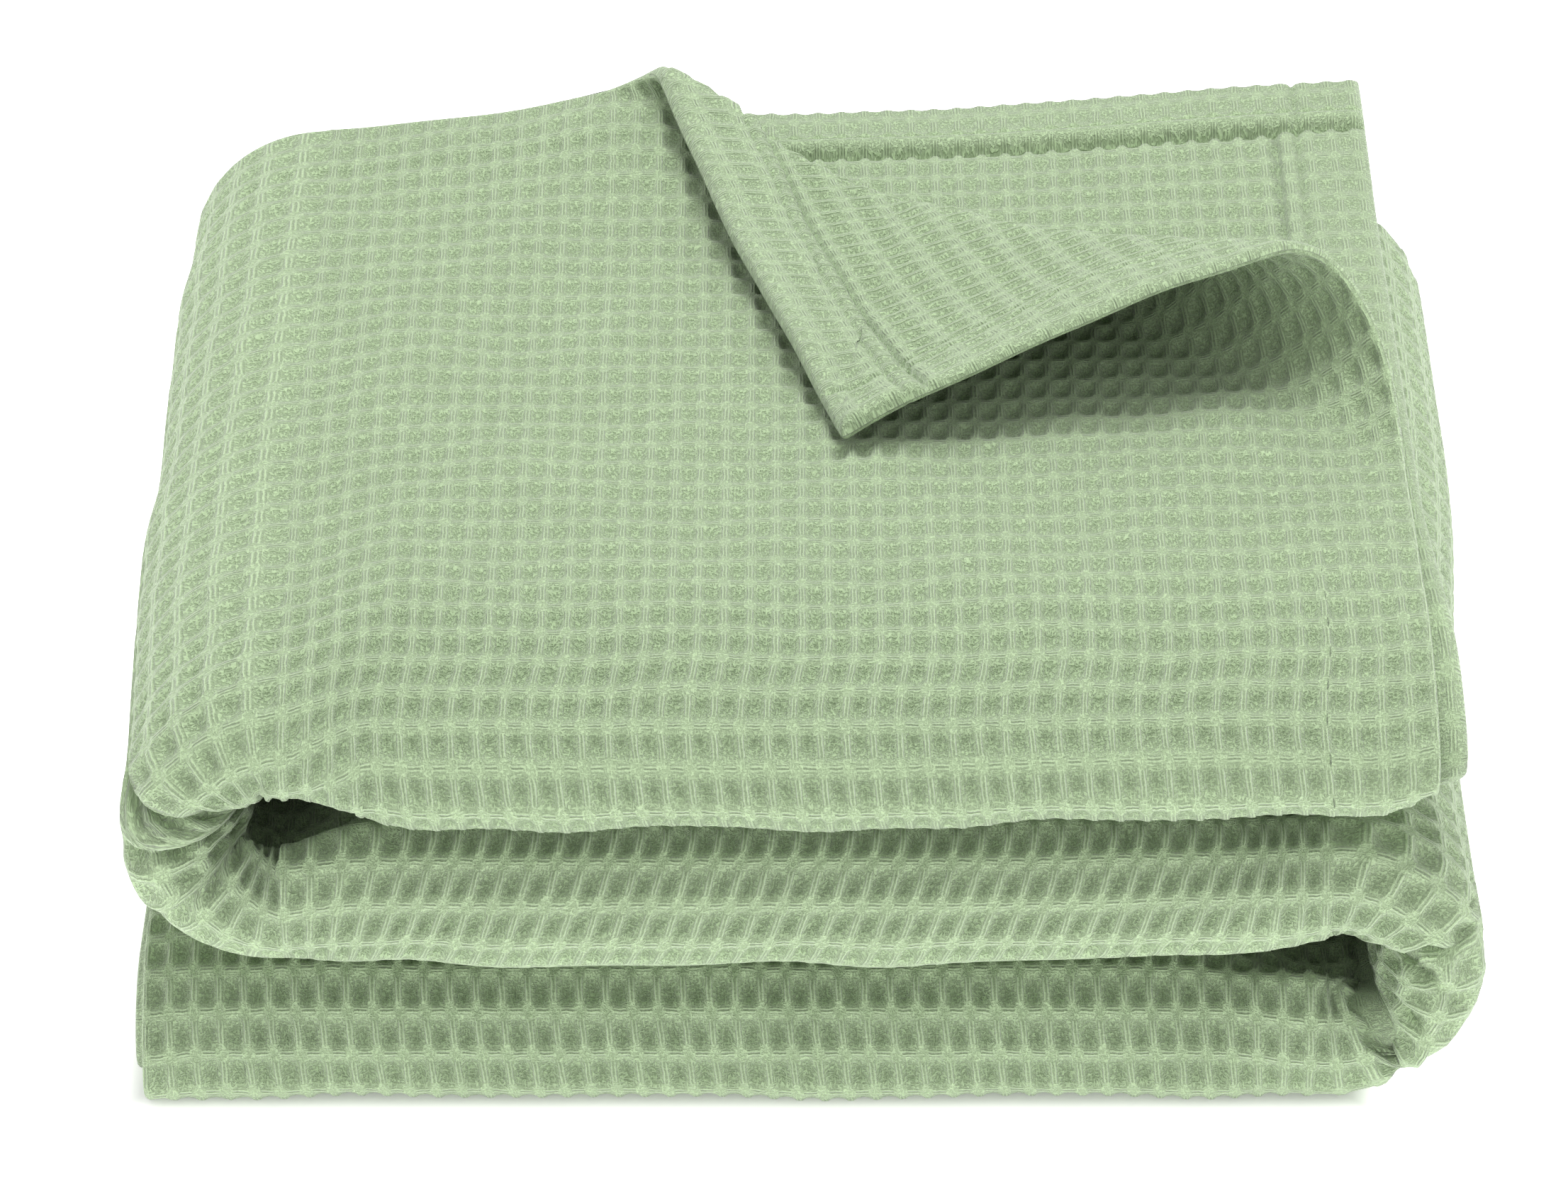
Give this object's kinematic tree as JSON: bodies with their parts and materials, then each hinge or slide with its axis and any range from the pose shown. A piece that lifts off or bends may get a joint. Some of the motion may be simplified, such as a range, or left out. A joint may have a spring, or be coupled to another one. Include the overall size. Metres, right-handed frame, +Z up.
{
  "type": "folded waffle blanket",
  "caption": "Cotton waffle blanket folded into a soft square stack, with one back corner of the top ply turned back to show its hem.",
  "frame": {"origin": "centre of the stack's outline on the ground, at the underside of the lowest ply", "axes": "+Z is up; +Y runs from the rounded front folds to the hems at the back; +X runs to the right, where the top layer's side hems are"},
  "size_m": [0.3374, 0.352, 0.1551],
  "materials": {
    "waffle_cotton": "dull sage green waffle weave, yarn-dyed, slightly fuzzy"
  },
  "bodies": {
    "root": {"blanket": "waffle_cotton"}
  },
  "joints": []
}
